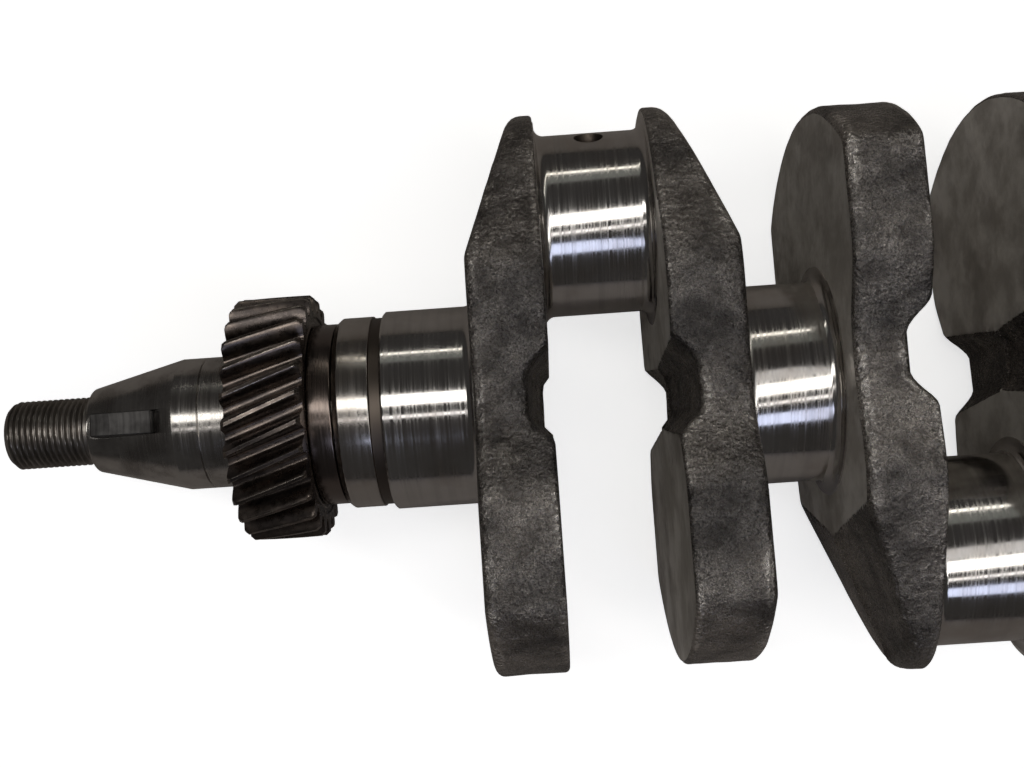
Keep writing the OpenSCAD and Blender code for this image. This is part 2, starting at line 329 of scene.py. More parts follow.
# Dark, rough walls for the oil holes: painted shade where the holes fall into shadow.
OIL_HOLE_SHADE = turned_material("oil_hole_painted_shade", (0.11, 0.090, 0.075, 1), (0.05, 0.041, 0.035, 1), 0.40, 0.55)
BEARING = ground_material("bearing", (0.74, 0.74, 0.73, 1), 0.1, 0.06, 0.14, 0.003)
BRASS = turned_material("cage_brass", (0.66, 0.50, 0.24, 1), (0.44, 0.32, 0.15, 1), 0.22, 0.34, 0.01)
SHIELD = turned_material("shield", (0.56, 0.56, 0.55, 1), (0.42, 0.42, 0.41, 1), 0.22, 0.32, 0.012)
GEAR = gear_material()


# ---------------------------------------------------------------- mesh helpers

SHARP = math.radians(32)
ON_AXIS = 1e-9


def settle(mesh):
    """Shades a mesh smooth, with its hard edges kept."""
    mesh.validate()
    mesh.shade_smooth()
    mesh.set_sharp_from_angle(angle=SHARP)


def piece(name, points, faces, material, stands_for, body="crank"):
    """Makes one piece of the object, hangs it on its body and hides the CAD parts it stands for."""
    mesh = bpy.data.meshes.new(name)
    mesh.from_pydata([tuple(p) for p in points], [], faces)
    mesh.materials.append(material)
    made = bpy.data.objects.new(name, mesh)
    bpy.context.scene.collection.objects.link(made)
    settle(mesh)
    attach(made, body)
    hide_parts(*stands_for)
    return made


def store(obj, name, values):
    """Keeps one number per point on a mesh."""
    layer = obj.data.attributes.new(name, "FLOAT", "POINT")
    layer.data.foreach_set("value", np.asarray(values, np.float32))


def circle_points(count):
    """Unit circle as (cos, sin) rows."""
    angles = np.arange(count) * 2 * math.pi / count
    return np.stack([np.cos(angles), np.sin(angles)], 1)


def band(a, b, count):
    """Quads between two rows of count points that go round and start at points a and b."""
    return [(a + k, a + (k + 1) % count, b + (k + 1) % count, b + k) for k in range(count)]


def grid_faces(rows, count, closed=False):
    """Quads between rows of count points that each go round."""
    faces = []
    for row in range(rows if closed else rows - 1):
        faces += band(row * count, (row + 1) % rows * count, count)
    return faces


def end_caps(hub, last, count):
    """Triangles from point hub to the first row, and from the next point to the row that starts at last."""
    faces = []
    for k in range(count):
        n = (k + 1) % count
        faces.append((hub, n, k))
        faces.append((hub + 1, last + k, last + n))
    return faces


def rounded(corners, steps=6):
    """A polyline of (x, r, corner radius), with each corner turned into an arc."""
    out = []
    for i, (x, r, c) in enumerate(corners):
        if c <= 0 or i in (0, len(corners) - 1):
            out.append((x, r))
            continue
        here = Vector((x, r))
        back = (Vector(corners[i - 1][:2]) - here).normalized()
        on = (Vector(corners[i + 1][:2]) - here).normalized()
        half = back.angle(on) / 2
        reach = c / math.tan(half)
        middle_way = (back + on).normalized()
        hub = here + middle_way * (c / math.sin(half))
        start, end = here + back * reach - hub, here + on * reach - hub
        turn = start.angle_signed(end)
        for k in range(steps + 1):
            spot = hub + Matrix.Rotation(-turn * k / steps, 2) @ start
            out.append((spot.x, spot.y))
    return out


def lathe_mesh(profile, centre=(0.0, 0.0), count=160, ring=False):
    """Points and faces of (x, r) turned about a line along X. A ring's profile closes on itself."""
    rim = circle_points(count)
    points = []
    body = profile if ring else [p for p in profile if p[1] > ON_AXIS]
    for x, r in body:
        points += [(x, centre[0] + r * c, centre[1] + r * s) for c, s in rim]
    faces = grid_faces(len(body), count, ring)
    if not ring:
        points += [(profile[0][0], *centre), (profile[-1][0], *centre)]
        faces += end_caps(len(points) - 2, (len(body) - 1) * count, count)
    return points, faces


def lathe(name, profile, material, stands_for, centre=(0.0, 0.0), count=160, ring=False,
          body="crank"):
    """A turned piece."""
    points, faces = lathe_mesh(profile, centre, count, ring)
    made = piece(name, points, faces, material, stands_for, body)
    outward(made)
    return made


def outward(obj):
    """Turns every face of a closed mesh outwards."""
    work = bmesh.new()
    work.from_mesh(obj.data)
    bmesh.ops.recalc_face_normals(work, faces=work.faces)
    work.to_mesh(obj.data)
    work.free()
    settle(obj.data)


def cutter(points, faces):
    """A temporary solid for cutting."""
    mesh = bpy.data.meshes.new("cutter")
    mesh.from_pydata([tuple(p) for p in points], [], faces)
    made = bpy.data.objects.new("cutter", mesh)
    bpy.context.scene.collection.objects.link(made)
    outward(made)
    return made


def cut(obj, tool, lining=None):
    """Cuts tool out of obj and removes tool; the cut walls may get a material of their own."""
    if lining is not None:
        if len(obj.data.materials) == 1:
            obj.data.materials.append(lining)
        tool.data.materials.append(lining)
        tool.data.materials.append(lining)
        for face in tool.data.polygons:
            face.material_index = 1
    step = obj.modifiers.new("cut", "BOOLEAN")
    step.operation = "DIFFERENCE"
    step.solver = "EXACT"
    step.object = tool
    graph = bpy.context.evaluated_depsgraph_get()
    shaped = bpy.data.meshes.new_from_object(obj.evaluated_get(graph))
    obj.modifiers.remove(step)
    obj.data = shaped
    bpy.data.objects.remove(tool)
    settle(shaped)


def turned_cutter(profile, place, count=48):
    """A cutter turned about +X, then placed by a matrix."""
    points, faces = lathe_mesh(profile, count=count)
    return cutter([place @ Vector(p) for p in points], faces)


def lump(point, size, seed):
    """Smooth noise in -1..1 with features of the given size."""
    return noise.noise(Vector(point) / size + Vector((seed * 7.3, seed * 3.1, seed * 5.7)))


# ---------------------------------------------------------------- webs

RIM_COUNT = 300
CHEEK_LOOPS = 36
ARC_STEPS = 6
SIDE_STEPS = 11
OUTLINE_STEP = 0.4 * MM
PARTING_H = 0.5 * MM
PARTING_W = 0.8 * MM
TIP_START = 58 * MM
TIP_RUN = 12 * MM
EDGE_FRONT = 2.4
EDGE_TIP = 4
EDGE_RECESS = 2.6
EDGE_BACK = 1.3
EDGE_SHARE = 0.42
SWELL = 0.30
SWELL_SIZE = 15 * MM
RIPPLE = 0.14
RIPPLE_SIZE = 4.5 * MM
SWELL_LEVEL = 0.08


def web_outline():
    """(y, z) rows round a web, evenly spaced, with soft corners; the throw is +Y."""
    corner_y = -math.sqrt(RIM_R ** 2 - FAN_HALF ** 2)
    reach = Vector((SHOULDER_Y - THROW, WAIST_HALF))
    touch = math.atan2(reach.y, reach.x) - math.acos(LOBE_R / reach.length)
    step = OUTLINE_STEP
    half = []
    start = math.pi
    stop = math.atan2(FAN_HALF, corner_y)
    for a in np.arange(start, stop, -step / RIM_R):
        half.append((RIM_R * math.cos(a), RIM_R * math.sin(a)))
    straight = [(corner_y, FAN_HALF), (FAN_Y, FAN_HALF), (WAIST_Y, WAIST_HALF),
                (6 * MM, WAIST_HALF - 0.6 * MM), (24 * MM, WAIST_HALF + 1.6 * MM),
                (SHOULDER_Y + 2 * MM, WAIST_HALF + 0.6 * MM),
                (THROW + LOBE_R * math.cos(touch), LOBE_R * math.sin(touch))]
    for a, b in zip(straight, straight[1:]):
        a, b = Vector(a), Vector(b)
        for k in range(int((b - a).length / step)):
            half.append(tuple(a.lerp(b, k * step / (b - a).length)))
    for a in np.arange(touch, 0, -step / LOBE_R):
        half.append((THROW + LOBE_R * math.cos(a), LOBE_R * math.sin(a)))
    half = np.array(half)
    whole = np.concatenate([half, (half * (1, -1))[::-1][:-1]])
    near_rim = np.exp(-((whole[:, 0] - corner_y) / (9 * MM)) ** 2)
    width = (3.6 * (1 - near_rim) + 1.5 * near_rim) * MM / step
    index = np.arange(len(whole))
    gap = np.abs(index[:, None] - index[None, :])
    gap = np.minimum(gap, len(whole) - gap)
    weight = np.exp(-0.5 * (gap / width[:, None]) ** 2)
    soft = weight @ whole / weight.sum(1, keepdims=True)
    loop = np.vstack([soft, soft[:1]])
    along = np.concatenate([[0], np.cumsum(np.linalg.norm(np.diff(loop, axis=0), axis=1))])
    even = np.linspace(0, along[-1], RIM_COUNT, endpoint=False)
    return np.stack([np.interp(even, along, loop[:, k]) for k in (0, 1)], 1)


def bevel_height(y, z):
    """How far the forged bevel stands back from the turned main journal side; below 0 it is cut away."""
    parting = PARTING_H * np.exp(-(z / PARTING_W) ** 2)
    return (y - RIDGE_Y) * BEVEL_SLOPE + DRAFT * np.abs(z) - parting


def recess_full(z):
    """Full depth of the forged recess across the crankpin side; the draft makes it deeper outwards."""
    return RECESS_DEPTH + DRAFT * np.abs(z) - PARTING_H * np.exp(-(z / PARTING_W) ** 2)


def recess_height(y, z):
    """How far the point is inside the recess's edge; below 0 it is outside."""
    return RECESS_FLOOR + RECESS_WALL * recess_full(z) - np.abs(y - RECESS_Y)


def recess_depth(y, z):
    """Depth of the recess: a crisp edge, a sloping wall and a flat floor."""
    t = np.clip(recess_height(y, z) / (RECESS_WALL * recess_full(z)), 0, 1)
    return recess_full(z) * (1 - (1 - t) ** 1.35)


def edge_wear_and_glint(angle):
    """Wear with a painted highlight on a rounded edge, greatest just off the web's side where the edge would
    catch the lamps; angle is 0 at that side.
    """
    return math.exp(-((angle - 0.3) / 0.45) ** 2)


def web_piece(index):
    """Web number index, counted from 1 at the nose."""
    node = f"web_{index}"
    low, high = span(node)
    mirrored = index % 2 == 0
    pin = middle(f"crankpin_{(index + 1) // 2}")
    upright = 1 if pin.y > 0 else -1
    hub = np.array([4 * MM, 0.0])
    rim = web_outline()
    ahead = np.roll(rim, -1, 0) - np.roll(rim, 1, 0)
    normal = np.stack([ahead[:, 1], -ahead[:, 0]], 1)
    normal /= np.linalg.norm(normal, axis=1, keepdims=True)
    normal *= np.sign(((rim - hub) * normal).sum(1, keepdims=True))

    front = np.maximum(bevel_height(*rim.T), 0)
    back = WEB_T - recess_depth(*rim.T)
    thick = back - front
    near_tip = np.clip((rim[:, 0] - TIP_START) / TIP_RUN, 0, 1)
    front_r = (EDGE_FRONT + EDGE_TIP * near_tip) * MM
    back_r = np.where(recess_height(*rim.T) > 0, EDGE_RECESS, EDGE_BACK) * MM
    round_front = np.minimum(front_r, (EDGE_SHARE + 0.36 * near_tip) * thick)
    round_back = np.minimum(back_r, (EDGE_SHARE - 0.26 * near_tip) * thick)

    # Each row keeps its turned-or-forged value and its edge wear, which the forged material paints bright as
    # a painted highlight along the edges.
    rows, cuts, wears_and_glints = [], [], []

    def row(x, plane, cut_value, wear_and_glint_value):
        rows.append(np.column_stack([x, plane]))
        cuts.append(np.broadcast_to(cut_value, RIM_COUNT).copy())
        wears_and_glints.append(np.broadcast_to(wear_and_glint_value, RIM_COUNT).copy())

    def cheek(side, radius_of_edge, share):
        inset = rim - normal * radius_of_edge[:, None]
        plane = hub + (inset - hub) * share
        if side == "front":
            raw = bevel_height(*plane.T)
            return np.maximum(raw, 0), plane, raw / MM
        raw = recess_height(*plane.T)
        return WEB_T - recess_depth(*plane.T), plane, raw / MM

    shares = 1 - (np.arange(CHEEK_LOOPS, 0, -1) / (CHEEK_LOOPS + 1)) ** 1.15
    for share in shares:
        x, plane, raw = cheek("front", round_front, share)
        row(x, plane, raw, 0)
    for k in range(ARC_STEPS + 1):
        a = math.pi / 2 * (1 - k / ARC_STEPS)
        x, _, raw = cheek("front", round_front, 1.0)
        plane = rim - normal * (round_front * (1 - math.cos(a)))[:, None]
        row(x + round_front * (1 - math.sin(a)), plane, raw if k == 0 else 1.0, edge_wear_and_glint(a))
    for k in range(1, SIDE_STEPS):
        share = k / SIDE_STEPS
        low_x, high_x = front + round_front, back - round_back
        row(low_x + (high_x - low_x) * share, rim, 1.0, 0)
    for k in range(ARC_STEPS + 1):
        a = math.pi / 2 * k / ARC_STEPS
        x, _, raw = cheek("back", round_back, 1.0)
        plane = rim - normal * (round_back * (1 - math.cos(a)))[:, None]
        row(x - round_back * (1 - math.sin(a)), plane, raw if k == ARC_STEPS else 1.0, edge_wear_and_glint(a))
    for share in shares[::-1]:
        x, plane, raw = cheek("back", round_back, share)
        row(x, plane, raw, 0)

    points = np.concatenate(rows)
    cut_values = np.concatenate(cuts)
    side_rows = range(CHEEK_LOOPS, CHEEK_LOOPS + 2 * ARC_STEPS + 1 + SIDE_STEPS)
    outward_yz = np.zeros((len(points), 2))
    for r in side_rows:
        outward_yz[r * RIM_COUNT:(r + 1) * RIM_COUNT] = normal
    for i, p in enumerate(points):
        skin = min(max(cut_values[i] * 1.5, 0), 1)
        if skin == 0:
            continue
        swell = SWELL * lump(p, SWELL_SIZE, index)
        swell = swell + RIPPLE * lump(p, RIPPLE_SIZE, index + 20) - SWELL_LEVEL
        p[1:] += outward_yz[i] * swell * skin * MM
        if not outward_yz[i].any():
            p[0] += swell * skin * MM * (1 if p[0] < WEB_T / 2 else -1)
    points[:, 0] = high - points[:, 0] if mirrored else low + points[:, 0]
    points[:, 1:] *= upright

    hubs = [points[:RIM_COUNT].mean(0), points[-RIM_COUNT:].mean(0)]
    points = np.vstack([points, hubs])
    faces = grid_faces(len(rows), RIM_COUNT)
    faces += end_caps(len(points) - 2, (len(rows) - 1) * RIM_COUNT, RIM_COUNT)
    made = piece(f"forged_{node}", points, faces, FORGED, [node])
    outward(made)
    store(made, "cut", np.append(cut_values, [1.0, 1.0]))
    store(made, "wear_and_glint", np.append(np.concatenate(wears_and_glints), [0.0, 0.0]))


# ---------------------------------------------------------------- journals and pins

PAD_H = 0.25 * MM
PAD_W = 1.5 * MM
PAD_EDGE = 0.3 * MM
FREE_EDGE = 0.5 * MM
FED_PIN = {1: 1, 2: 2, 4: 3, 5: 4}


def journal_profile(low, high, r, front=True, rear=True):
    """Profile of a journal with a hollow fillet and a low turned pad at each webbed end."""
    arc = [math.pi / 2 * k / 8 for k in range(9)]
    out = [(low, 0.0)]
    if front:
        out += [(low, r + FILLET + PAD_W), (low + PAD_H, r + FILLET + PAD_W - PAD_EDGE)]
        out += [(low + PAD_H + FILLET * (1 - math.cos(a)), r + FILLET * (1 - math.sin(a))) for a in arc]
    else:
        out += [(low, r - FREE_EDGE), (low + FREE_EDGE, r)]
    if rear:
        out += [(high - PAD_H - FILLET * (1 - math.cos(a)), r + FILLET * (1 - math.sin(a)))
                for a in reversed(arc)]
        out += [(high - PAD_H, r + FILLET + PAD_W - PAD_EDGE), (high, r + FILLET + PAD_W)]
    else:
        out += [(high - FREE_EDGE, r), (high, r - FREE_EDGE)]
    return out + [(high, 0.0)]


OIL_LEAN = math.radians(34)
OIL_R = 2.5 * MM
OIL_MOUTH_R = 3.6 * MM
OIL_DEPTH = 34 * MM


def oil_hole(obj, x, centre_y, r, way, rise):
    """Cuts an oil hole with a bevelled mouth and dark walls, a painted shade inside the hole; way and rise
    are +1 or -1, along Y and along Z.
    """
    out = Vector((0, way * math.cos(OIL_LEAN), rise * math.sin(OIL_LEAN)))
    mouth = Vector((x, centre_y, 0)) + out * r
    turn = Vector((1, 0, 0)).rotation_difference(out).to_matrix().to_4x4()
    profile = [(-OIL_DEPTH - 2 * MM, 0), (-OIL_DEPTH, OIL_R),
               (-2.4 * MM, OIL_R), (-1.5 * MM, OIL_MOUTH_R - 0.3 * MM),
               (-0.3 * MM, OIL_MOUTH_R), (0.8 * MM, OIL_MOUTH_R + 0.8 * MM),
               (2 * MM, OIL_MOUTH_R + 2 * MM), (2 * MM, 0)]
    cut(obj, turned_cutter(profile, Matrix.Translation(mouth) @ turn), OIL_HOLE_SHADE)


def make_journals():
    """Main journals and crankpins."""
    for i in range(1, 6):
        node = f"main_journal_{i}"
        made = lathe(f"ground_{node}", journal_profile(*span(node), MAIN_R, i > 1, i < 5), GROUND,
                     [node], count=200)
        fed = FED_PIN.get(i)
        if fed:
            way = -1 if middle(f"crankpin_{fed}").y > 0 else 1
            oil_hole(made, middle(node).x, 0, MAIN_R, way, -1)
    for i in range(1, 5):
        node = f"crankpin_{i}"
        spot = middle(node)
        made = lathe(f"ground_{node}", journal_profile(*span(node), PIN_R), GROUND, [node],
                     centre=(spot.y, spot.z), count=200)
        way = 1 if spot.y > 0 else -1
        oil_hole(made, spot.x, spot.y, PIN_R, way, way)


# ---------------------------------------------------------------- nose

THREAD_PITCH = 1.5 * MM
THREAD_DEPTH = 0.90 * MM
THREAD_SIDES = 144
THREAD_SAMPLES = 12
THREAD_CREST = 0.14
THREAD_FLANK = 0.62
THREAD_LEAD = 1.35 * MM
THREAD_LEAD_SLOPE = 0.9
THREAD_RELIEF = 1.7 * MM
THREAD_FADE = 0.5 * MM
TAPER_SMALL_R = 11 * MM
KEY_EDGE = 0.35 * MM


def helical_piece():
    """Thread piece: the helical skin over a core that closes both ends."""
    low, high = span("nose_thread")
    top = radius("nose_thread")
    count = THREAD_SIDES
    turns = (high - low) / THREAD_PITCH
    steps = int(turns * THREAD_SAMPLES)
    points = []
    for row in range(steps + 1):
        x = low + (high - low) * row / steps
        for k in range(count):
            a = 2 * math.pi * k / count
            phase = ((x - low) / THREAD_PITCH - k / count) % 1.0
            wave = abs(phase - 0.5) * 2
            depth = 1 - min(max((wave - THREAD_CREST) / THREAD_FLANK, 0), 1)
            r = top - THREAD_DEPTH * (1 - depth)
            r = min(r, top - THREAD_LEAD + (x - low) * THREAD_LEAD_SLOPE)
            fade = min(max((high - THREAD_RELIEF - x) / THREAD_FADE, 0), 1)
            r = (top - THREAD_DEPTH) * (1 - fade) + r * fade
            points.append((x, r * math.cos(a), r * math.sin(a)))
    faces = grid_faces(steps + 1, count)
    points += [(low, 0, 0), (high, 0, 0)]
    faces += end_caps(len(points) - 2, steps * count, count)
    made = piece("nose_thread_cut", points, faces, THREAD, ["nose_thread"])
    outward(made)


def make_nose():
    """Thread, taper with its keyway, key and plain nose."""
    helical_piece()
    low, high = span("nose_taper")
    nose_r = radius("nose_taper")
    taper = lathe("pulley_taper", rounded([(low, 0, 0), (low, TAPER_SMALL_R, 0.8 * MM),
                                          (high - 0.4 * MM, nose_r, 0.3 * MM), (high, nose_r, 0),
                                          (high, 0, 0)], 4),
                  TURNED, ["nose_taper"])
    key_low, key_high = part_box("pulley_key")
    half_w = (key_high.y - key_low.y) / 2 + 0.05 * MM
    floor_z, end_x = key_low.z, key_high.x
    step_x, run_out_x = end_x + 0.12 * MM, end_x + 4.6 * MM
    above_z = key_high.z + 5 * MM
    side = [(low - MM, floor_z), (step_x, floor_z), (step_x, floor_z + 3.7 * MM),
            (run_out_x, key_high.z + 0.4 * MM), (run_out_x, above_z), (low - MM, above_z)]
    count = len(side)
    points = [(x, y, z) for y in (-half_w, half_w) for x, z in side]
    faces = grid_faces(2, count) + [tuple(range(count))[::-1], tuple(range(count, 2 * count))]
    cut(taper, cutter(points, faces))
    bevelled_block("pulley_key_steel", key_low, key_high, KEY, ["pulley_key"])
    low, high = span("nose_cylinder")
    nose_r = radius("nose_cylinder")
    groove_x = low + 6.2 * MM
    lathe("plain_nose", rounded([(low, 0, 0), (low, nose_r, 0), (groove_x - 0.25 * MM, nose_r, 0),
                                (groove_x, nose_r - 0.3 * MM, 0), (groove_x + 0.25 * MM, nose_r, 0),
                                (high, nose_r, 0), (high, 0, 0)]),
          TURNED, ["nose_cylinder"])


def bevelled_block(name, low, high, material, stands_for):
    """A key: a bar with bevelled edges."""
    corners = [(x, y, z) for x in (low.x, high.x) for y in (low.y, high.y) for z in (low.z, high.z)]
    faces = [(0, 1, 3, 2), (4, 6, 7, 5), (0, 4, 5, 1), (2, 3, 7, 6), (0, 2, 6, 4), (1, 5, 7, 3)]
    made = piece(name, corners, faces, material, stands_for)
    outward(made)
    soft = made.modifiers.new("edges", "BEVEL")
    soft.width = KEY_EDGE
    soft.segments = 3
    soft.limit_method = "ANGLE"
    return made


def make_front():
    """Gear seat, gear key, collar and front seal land."""
    low, high = span("gear_seat")
    seat_r = radius("gear_seat")
    lathe("turned_gear_seat", [(low, 0), (low, seat_r), (high, seat_r), (high, 0)], TURNED,
          ["gear_seat"])
    bevelled_block("gear_key_steel", *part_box("gear_key"), KEY, ["gear_key"])
    low, high = span("spacer_collar")
    r = radius("spacer_collar")
    high -= 0.35 * MM
    lathe("polished_collar", rounded([(low, seat_r, 0), (low, r, 0.7 * MM), (high, r, 0.5 * MM),
                                     (high, seat_r, 0)]),
          COLLAR, ["spacer_collar"], ring=True)
    low, high = span("front_seal_land")
    r = radius("front_seal_land")
    dip_x, dip = SEAL_RELIEF_X, 0.45 * MM
    lathe("front_seal_surface",
          rounded([(low, 0, 0), (low, r - 1.1 * MM, 0), (low + 1.3 * MM, r, 0.6 * MM),
                   (dip_x, r, 0.2 * MM), (dip_x + 0.3 * MM, r - dip, 0.3 * MM),
                   (high - 0.1 * MM, r - dip, 0), (high, r - dip - 0.3 * MM, 0), (high, 0, 0)]),
          SEAL, ["front_seal_land"], count=200)


# ---------------------------------------------------------------- timing gear

TEETH = 28
GEAR_MODULE = 2 * MM
HELIX = math.radians(20)
PRESSURE = math.radians(20)
GEAR_STEPS = 26
GEAR_BEVEL = 1.0 * MM


def tooth_profile():
    """(radius, angle, wear and painted highlight) points across one tooth pitch, the tooth's middle at angle
    0.
    """
    pitch_r = GEAR_MODULE * TEETH / math.cos(HELIX) / 2
    tip_r = pitch_r + GEAR_MODULE
    root_r = pitch_r - 1.25 * GEAR_MODULE
    across = math.atan(math.tan(PRESSURE) / math.cos(HELIX))
    base_r = pitch_r * math.cos(across)

    def involute(a):
        return math.tan(a) - a

    def half_angle(r):
        a = math.acos(min(base_r / max(r, base_r), 1))
        return math.pi / 2 / TEETH + involute(across) - involute(a) - 0.008

    flank_low = root_r + 0.7 * MM
    radii = [flank_low + (tip_r - 0.12 * MM - flank_low) * k / 6 for k in range(7)]
    flank = [(r, half_angle(r), 0.45 * k / 6) for k, r in enumerate(radii)]
    crown = [(tip_r, half_angle(tip_r) - 0.004, 1.0), (tip_r, 0.45 * half_angle(tip_r), 0.35)]
    root = [(root_r, math.pi / TEETH, 0.0), (root_r, half_angle(flank_low) + 0.028, 0.0),
            (root_r + 0.25 * MM, half_angle(flank_low) + 0.010, 0.0)]
    rising = [(r, -a, w) for r, a, w in root + flank + crown]
    falling = [(r, a, w) for r, a, w in reversed(root[1:] + flank + crown)]
    return rising + falling, pitch_r, tip_r, root_r


def make_gear():
    """Helical gear with bevelled tooth ends."""
    low, high = span("timing_gear")
    profile, pitch_r, tip_r, root_r = tooth_profile()
    bore_r = radius("gear_seat")
    ring = [(r, a + 2 * math.pi * t / TEETH, w) for t in range(TEETH) for r, a, w in profile]
    count = len(ring)
    bevel = GEAR_BEVEL
    stations = [low, low + 0.35 * bevel, low + 0.7 * bevel, low + bevel]
    inner = np.linspace(low + bevel, high - bevel, GEAR_STEPS)[1:-1]
    stations += list(inner) + [high - bevel, high - 0.7 * bevel, high - 0.35 * bevel, high]
    points, wears_and_glints = [], []
    middle_x = (low + high) / 2
    for x in stations:
        near = min(x - low, high - x)
        lost = max(bevel - near, 0) * 0.9
        twist = -(x - middle_x) * math.tan(HELIX) / pitch_r
        for r, a, w in ring:
            r = min(r, tip_r - lost)
            points.append((x, r * math.cos(a + twist), r * math.sin(a + twist)))
            # Bevelled tooth ends count as worn, and the gear material paints them bright: wear with a
            # painted edge highlight.
            wears_and_glints.append(max(w, 0.55 if 0 < lost < bevel and r > root_r + 1.5 * MM else 0))
    faces = grid_faces(len(stations), count)
    face_in = [(root_r - 1.2 * MM, 0.0), (root_r - 1.6 * MM, 0.25 * MM), (bore_r + 4.6 * MM, 0.25 * MM),
               (bore_r + 4.2 * MM, 0.0), (bore_r + 0.4 * MM, 0.0), (bore_r, 0.4 * MM)]
    rear_first = len(points)
    for end, sign in ((high, -1), (low, 1)):
        twist = -(end - middle_x) * math.tan(HELIX) / pitch_r
        for r, sunk in face_in:
            for _, a, _ in ring:
                points.append((end + sign * sunk, r * math.cos(a + twist), r * math.sin(a + twist)))
                wears_and_glints.append(0.1)
    last = (len(stations) - 1) * count
    loops = [last] + [rear_first + k * count for k in range(len(face_in))]
    loops += [rear_first + (2 * len(face_in) - 1 - k) * count for k in range(len(face_in))] + [0]
    for a, b in zip(loops, loops[1:]):
        faces += band(a, b, count)
    made = piece("helical_timing_gear", points, faces, GEAR, ["timing_gear"])
    outward(made)
    store(made, "wear_and_glint", wears_and_glints)


# ---------------------------------------------------------------- flywheel end

BOLTS = 6
BOLT_CIRCLE_R = 36 * MM
BOLT_PITCH = 1.25 * MM
BOLT_MINOR_R = 5.4 * MM
BOLT_MAJOR_R = 6.0 * MM
BOLT_DEPTH = 10 * MM
BOLT_RUN_OUT = 0.9 * MM
SPIGOT_R = 29 * MM
PILOT_POCKET_R = 12 * MM


def bolt_cutter(face_x, depth, angle):
    """Cutter for one tapped hole: ridged walls and a bevelled mouth."""
    profile = [(-depth, 0), (-depth, BOLT_MINOR_R)]
    x = -depth + BOLT_PITCH / 2
    while x < -2.2 * MM:
        profile += [(x, BOLT_MAJOR_R), (x + BOLT_PITCH / 2, BOLT_MINOR_R)]
        x += BOLT_PITCH
    profile += [(-1.0 * MM, BOLT_MINOR_R), (0.4 * MM, BOLT_MAJOR_R + 0.8 * MM),
                (3 * MM, BOLT_MAJOR_R + 0.8 * MM), (3 * MM, 0)]
    place = Matrix.Rotation(angle, 4, "X") @ Matrix.Translation((face_x, BOLT_CIRCLE_R, 0))
    return turned_cutter(profile, place, 40)


def make_flywheel_end():
    """Rear seal land, flange with its tapped holes, and dowel."""
    low, high = span("rear_seal_land")
    r = radius("rear_seal_land")
    pilot_low, _ = span("pilot_outer_ring")
    lathe("rear_seal_surface",
          rounded([(low, 0, 0), (low, MAIN_R, 0), (low, r, 0.8 * MM), (high, r, 0.8 * MM), (high, 0, 0)]),
          REAR_SEAL, ["rear_seal_land"], count=220)
    low, spigot_end = high, span("flywheel_flange")[1]
    r = radius("flywheel_flange")
    bore_r = radius("pilot_outer_ring")
    profile = rounded([(low, 0, 0), (low, r, 0.5 * MM), (0, r, 1.0 * MM), (0, SPIGOT_R + 0.1 * MM, 0.2 * MM),
                       (spigot_end, SPIGOT_R, 0.8 * MM), (spigot_end, bore_r + 0.6 * MM, 0),
                       (spigot_end - 0.6 * MM, bore_r, 0), (pilot_low, bore_r, 0),
                       (pilot_low, PILOT_POCKET_R, 0), (low + 0.8 * MM, PILOT_POCKET_R, 0),
                       (low + 0.8 * MM, 0, 0)])
    flange = lathe("turned_flywheel_flange", profile, TURNED, ["flywheel_flange"], count=240)
    for k in range(BOLTS):
        cut(flange, bolt_cutter(0.0, BOLT_DEPTH - BOLT_RUN_OUT, 2 * math.pi * k / BOLTS))
    dowel_low, dowel_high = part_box("flywheel_dowel")
    spot = (dowel_low + dowel_high) / 2
    seat_r = (dowel_high.y - dowel_low.y) / 2
    r = seat_r - 0.5 * MM
    lathe("flange_dowel", rounded([(dowel_low.x, 0, 0), (dowel_low.x, seat_r, 0.4 * MM), (0, seat_r, 0),
                                   (0, r, 0), (dowel_high.x - 1.2 * MM, r, 0.6 * MM),
                                   (dowel_high.x, r - 0.7 * MM, 0.3 * MM), (dowel_high.x, 0, 0)]),
          BEARING, ["flywheel_dowel"], centre=(spot.y, spot.z), count=64)


# ---------------------------------------------------------------- pilot bearing

BALLS = 8
BALL_R = 3 * MM
BALL_CIRCLE_R = 12.5 * MM
GROOVE_R = 3.05 * MM
RACE_EDGE = 0.6 * MM
BEARING_BORE_R = 7.5 * MM
POCKET_R = BALL_R + 0.05 * MM
SHIELD_T = 0.5 * MM
SHIELD_GAP = 0.4 * MM


def race_profile(low, high, wall_r, groove_side_r, grows):
    """Closed profile of a bearing ring: a plain wall and a grooved wall."""
    mid = (low + high) / 2
    half = math.acos(abs(BALL_CIRCLE_R - groove_side_r) / GROOVE_R)
    groove = []
    for k in range(15):
        a = -half + 2 * half * k / 14
        r = BALL_CIRCLE_R + (1 if grows else -1) * GROOVE_R * math.cos(a)
        groove.append((mid + GROOVE_R * math.sin(a), r))
    way = -1 if grows else 1
    wall = rounded([(low, groove_side_r, 0), (low, wall_r, RACE_EDGE), (high, wall_r, RACE_EDGE),
                    (high, groove_side_r, 0)], 4)
    edge = 0.25 * MM
    wall[0] = (low, groove_side_r - way * edge)
    wall[-1] = (high, groove_side_r - way * edge)
    return wall + [(high - edge, groove_side_r)] + groove[::-1] + [(low + edge, groove_side_r)]


